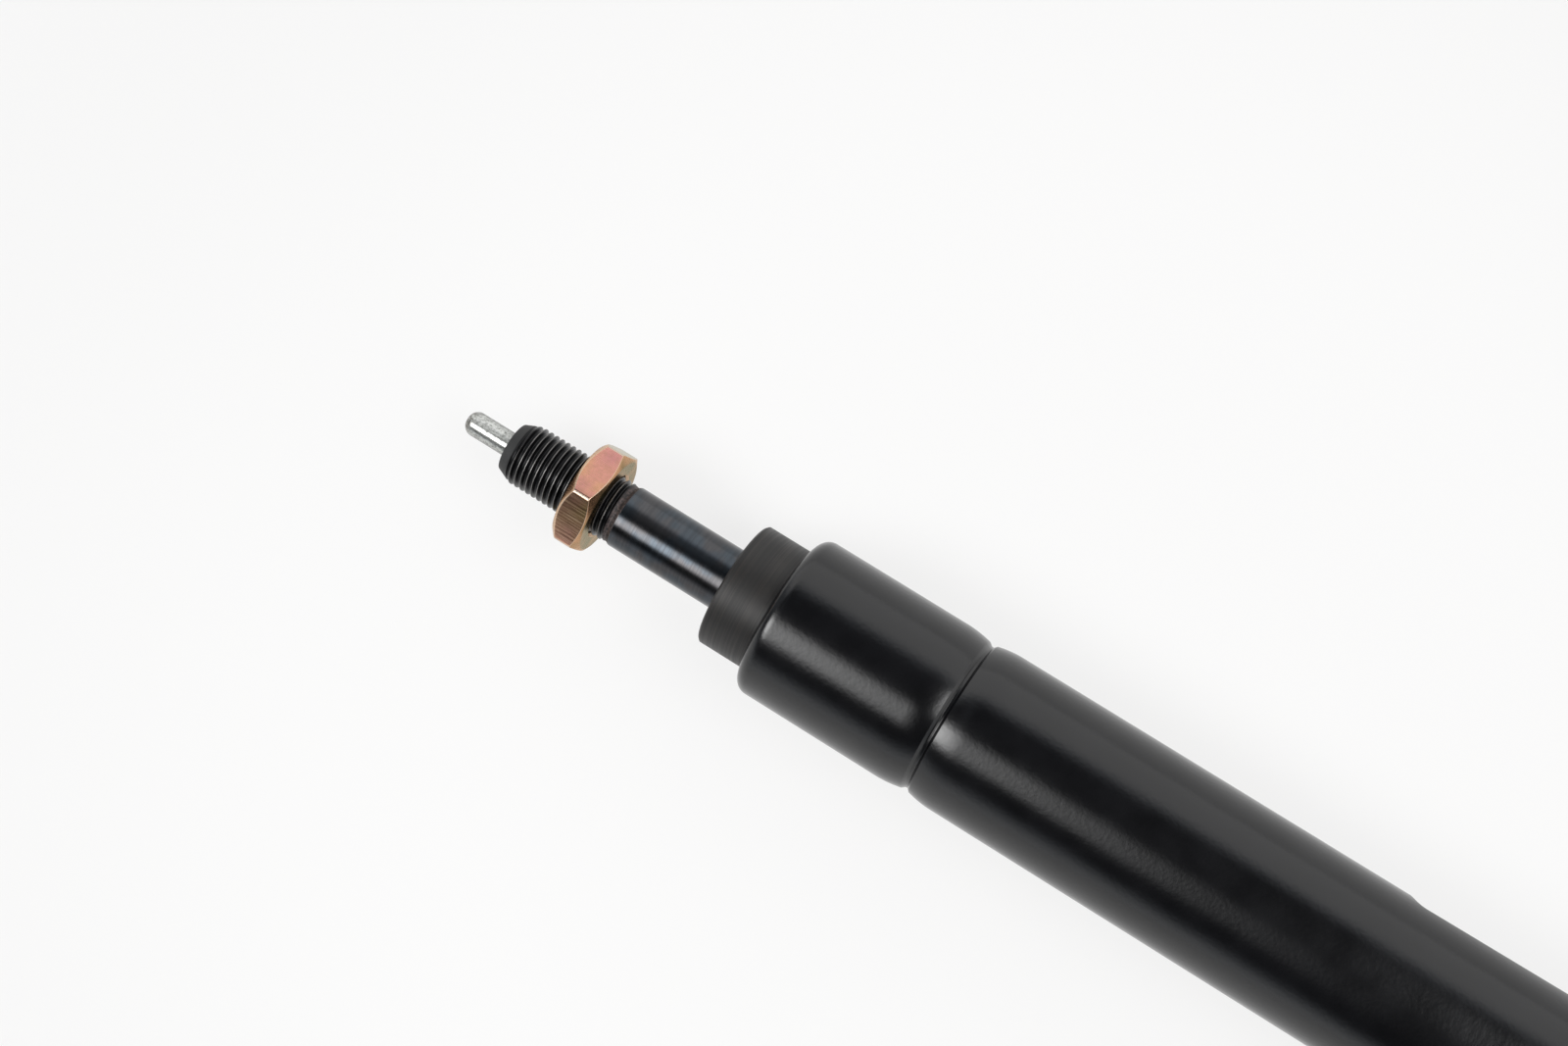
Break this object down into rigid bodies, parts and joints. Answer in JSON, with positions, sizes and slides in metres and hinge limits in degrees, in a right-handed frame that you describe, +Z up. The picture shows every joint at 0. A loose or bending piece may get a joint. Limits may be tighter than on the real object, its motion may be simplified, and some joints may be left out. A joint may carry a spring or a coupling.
{
  "type": "locking gas spring",
  "caption": "Locking gas spring with a rolled black pressure tube, a threaded piston rod, a push-to-release pin in the rod's end and a welded rear eye.",
  "frame": {"origin": "centre of the rear eye's bore, on the spring's axis", "axes": "+X along the spring's axis to the threaded rod end, +Y along the rear eye's bore, +Z up with the spring lying on its tube"},
  "size_m": [0.269, 0.026, 0.026],
  "materials": {
    "tube_paint": "semi-gloss black powder paint",
    "black_turned": "matte black, finely turned",
    "rod_nitrided": "dark nitrided, satin gloss",
    "pin_steel": "bright zinc",
    "nut_chromate": "iridescent yellow chromate",
    "inner_steel": "machined",
    "valve_brass": "machined",
    "seal_rubber": "smooth",
    "bearing_bronze": "sintered bronze liner",
    "guide_plastic": "moulded",
    "piston_aluminium": "machined",
    "end_steel": "zinc plated"
  },
  "bodies": {
    "tube": {"pressure_tube": "tube_paint", "guide_bush": "black_turned", "wiper_ring": "seal_rubber", "rod_bearing": "bearing_bronze", "support_washer": "inner_steel", "rod_seal": "seal_rubber", "seal_energiser": "seal_rubber", "seal_spacer": "inner_steel", "inner_guide": "piston_aluminium", "guide_o_ring": "seal_rubber", "end_plug": "end_steel", "end_plug_o_ring": "seal_rubber", "rear_eye": "end_steel", "eye_bush": "bearing_bronze"},
    "rod": {"piston_rod": "rod_nitrided", "rebound_buffer": "guide_plastic", "rebound_washer": "inner_steel", "piston_body": "inner_steel", "piston_seal": "seal_rubber", "piston_wear_ring": "guide_plastic", "valve_sleeve": "valve_brass", "valve_o_rings": "seal_rubber", "valve_retainer": "inner_steel"},
    "pin": {"release_pin": "pin_steel", "valve_stem": "inner_steel"},
    "separator": {"separating_piston": "piston_aluminium", "separating_o_ring": "seal_rubber", "separating_wear_ring": "guide_plastic"},
    "nut": {"jam_nut": "nut_chromate"}
  },
  "joints": [
    {"name": "rod_slide", "type": "slide", "parent": "tube", "child": "rod", "axis": [1, 0, 0], "range_m": [-0.015, 0.045]},
    {"name": "release_pin_press", "type": "slide", "parent": "rod", "child": "pin", "axis": [-1, 0, 0], "range_m": [0, 0.0025], "stiffness_N_per_m": 5000},
    {"name": "separator_slide", "type": "slide", "parent": "tube", "child": "separator", "axis": [1, 0, 0], "range_m": [-0.003, 0.0087]},
    {"name": "jam_nut_turn", "type": "hinge", "parent": "rod", "child": "nut", "pos_m": [0.23694, 0, 0], "axis": [1, 0, 0], "continuous": true}
  ],
  "couplings": [
    {"joint": "separator_slide", "follows": "rod_slide", "ratio": 0.18904}
  ]
}
